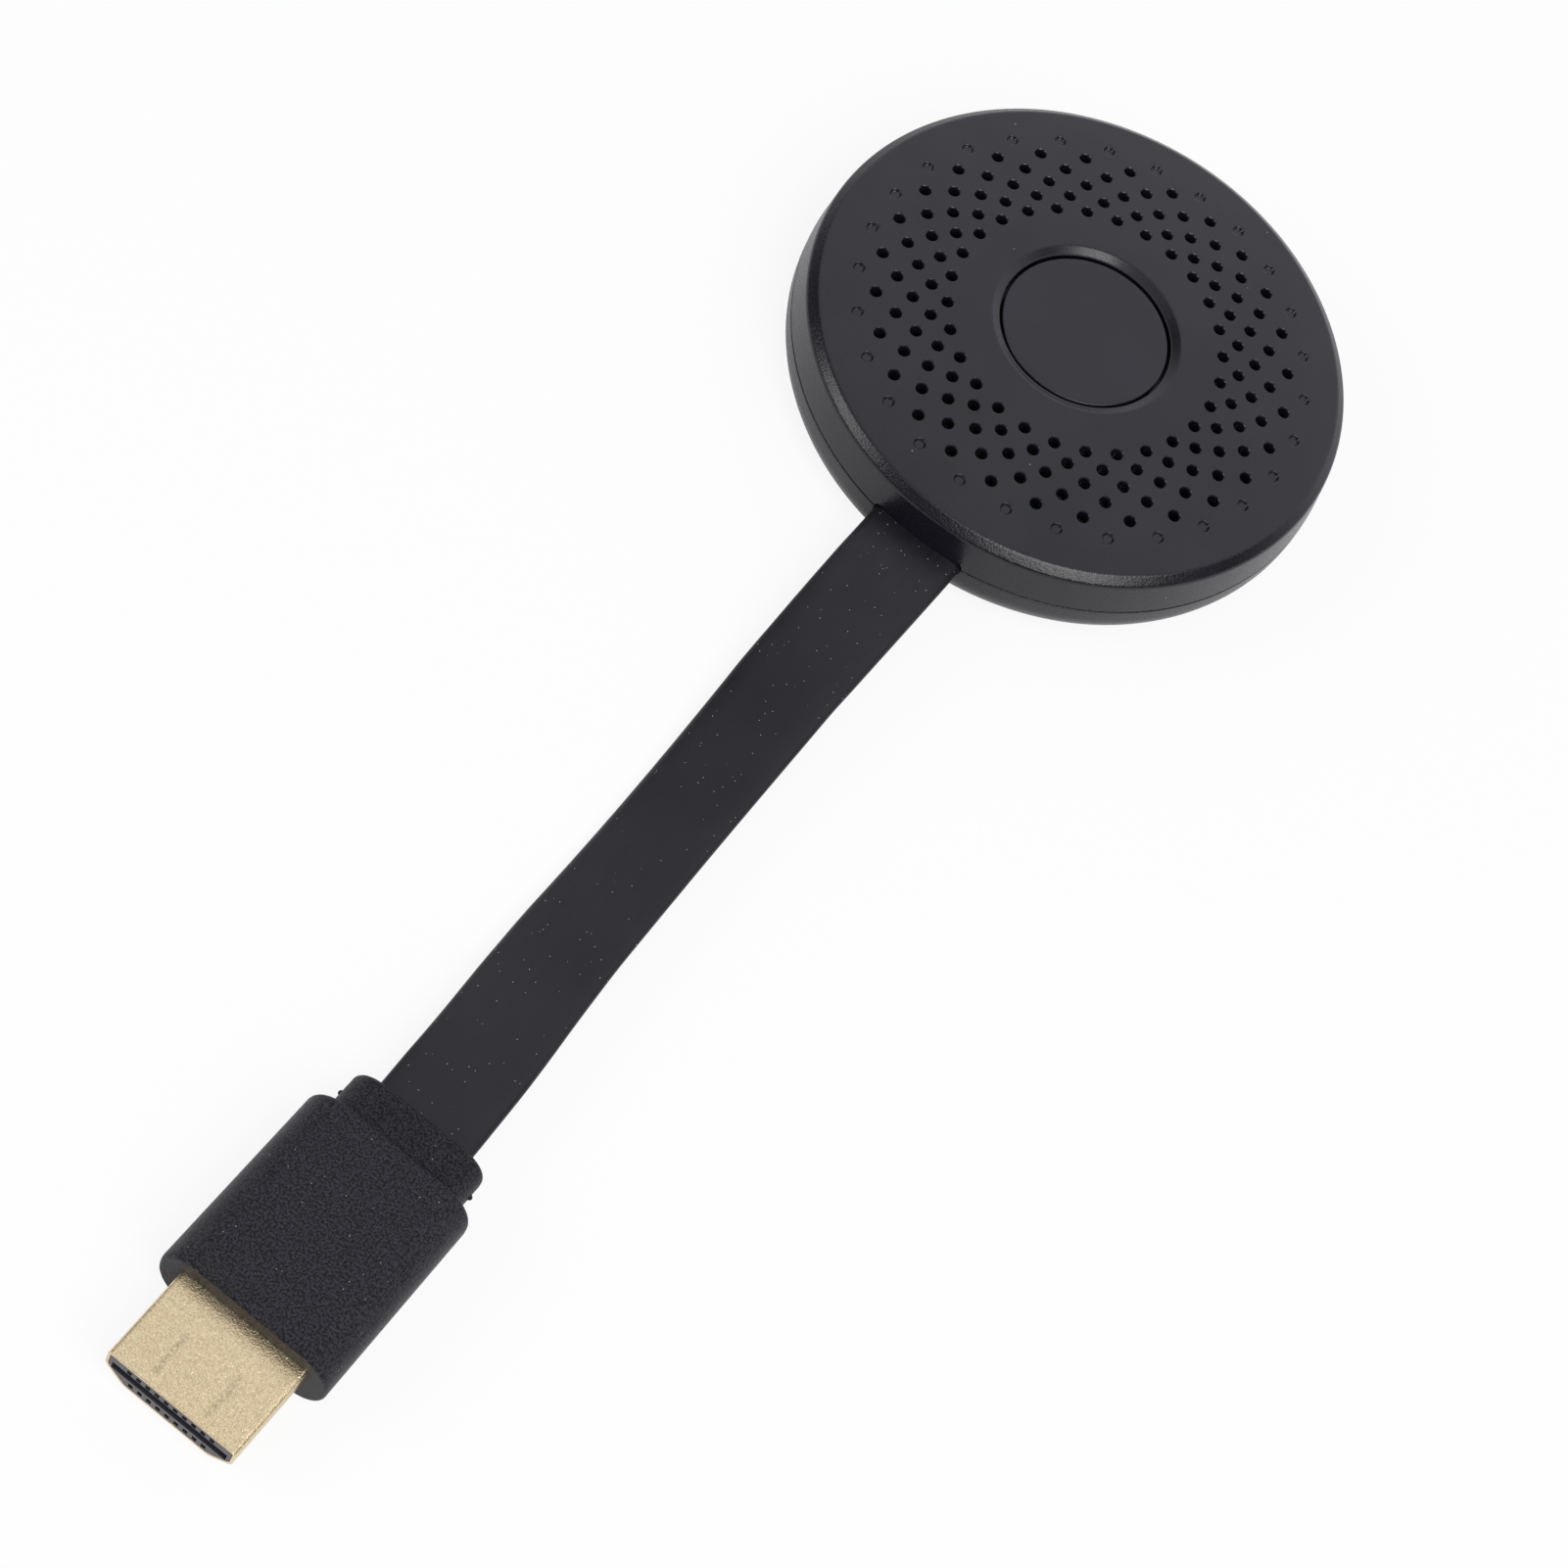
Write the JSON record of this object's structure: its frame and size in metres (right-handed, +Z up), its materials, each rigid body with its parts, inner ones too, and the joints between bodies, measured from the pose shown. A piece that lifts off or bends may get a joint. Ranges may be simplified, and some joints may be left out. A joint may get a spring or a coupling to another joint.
{
  "type": "screen mirroring dongle",
  "caption": "Flat round dongle with a pierced domed face, a press disc in its middle, a short flat ribbon cord and a digital video plug.",
  "frame": {"origin": "centre of the round case's flat base", "axes": "+Z up out of the pierced face; the ribbon cord leaves towards -Y and the power inlet opens towards +Y; +X is to the right when the cord points at the viewer"},
  "size_m": [0.0588, 0.1758, 0.0121],
  "materials": {
    "case_plastic": "fine spark-eroded grain, satin",
    "disc_plastic": "smooth, satin",
    "switch_plastic": "moulded, semi-gloss",
    "board_laminate": "solder mask over glass laminate",
    "chip_epoxy": "moulded epoxy, matte",
    "thermal_rubber": "soft, matte",
    "heatsink_aluminium": "extruded, satin",
    "module_laminate": "solder mask over glass laminate",
    "can_steel": "tinned sheet steel",
    "ferrite": "pressed ferrite, matte",
    "ceramic": "fired ceramic",
    "screw_steel": "zinc plated",
    "lamp_resin": "clear resin over a diode",
    "pipe_acrylic": "clear acrylic, polished",
    "inlet_steel": "tinned stamped steel",
    "contact_gold": "gold plated",
    "anchor_plastic": "moulded, matte",
    "ribbon_sheath": "extruded, smooth and matte",
    "grip_plastic": "pebbled moulding, satin",
    "shell_gilt": "gold plated, fine grain",
    "insert_plastic": "moulded, matte"
  },
  "bodies": {
    "case": {"bottom_shell": "case_plastic", "top_cover": "case_plastic", "mode_switch_body": "switch_plastic", "circuit_board": "board_laminate", "processor": "chip_epoxy", "thermal_pad": "thermal_rubber", "heatsink": "heatsink_aluminium", "memory_chip": "chip_epoxy", "storage_chip": "chip_epoxy", "wireless_board": "module_laminate", "wireless_can": "can_steel", "antenna_strip": "can_steel", "crystal": "can_steel", "power_inductors": "ferrite", "capacitors": "ceramic", "board_screws": "screw_steel", "reset_switch_body": "switch_plastic", "status_lamp": "lamp_resin", "light_pipe": "pipe_acrylic", "power_inlet_shell": "inlet_steel", "power_inlet_tongue": "switch_plastic", "power_inlet_contacts": "contact_gold", "cord_anchor": "anchor_plastic", "cord_conductors": "contact_gold", "ribbon_cord": "ribbon_sheath", "plug_grip": "grip_plastic", "plug_shell": "shell_gilt", "plug_insert": "insert_plastic", "plug_upper_contacts": "contact_gold", "plug_lower_contacts": "contact_gold"},
    "mode_button": {"mode_button": "disc_plastic", "mode_switch_plunger": "switch_plastic"},
    "reset_button": {"reset_button": "disc_plastic", "reset_switch_plunger": "switch_plastic"}
  },
  "joints": [
    {"name": "mode_button_press", "type": "slide", "parent": "case", "child": "mode_button", "axis": [0, 0, -1], "range_m": [0, 0.0005], "stiffness_N_per_m": 400, "springref_m": -0.0003},
    {"name": "reset_button_press", "type": "slide", "parent": "case", "child": "reset_button", "axis": [-0.342, -0.9397, 0], "range_m": [0, 0.0003], "stiffness_N_per_m": 200, "springref_m": -0.0002}
  ]
}
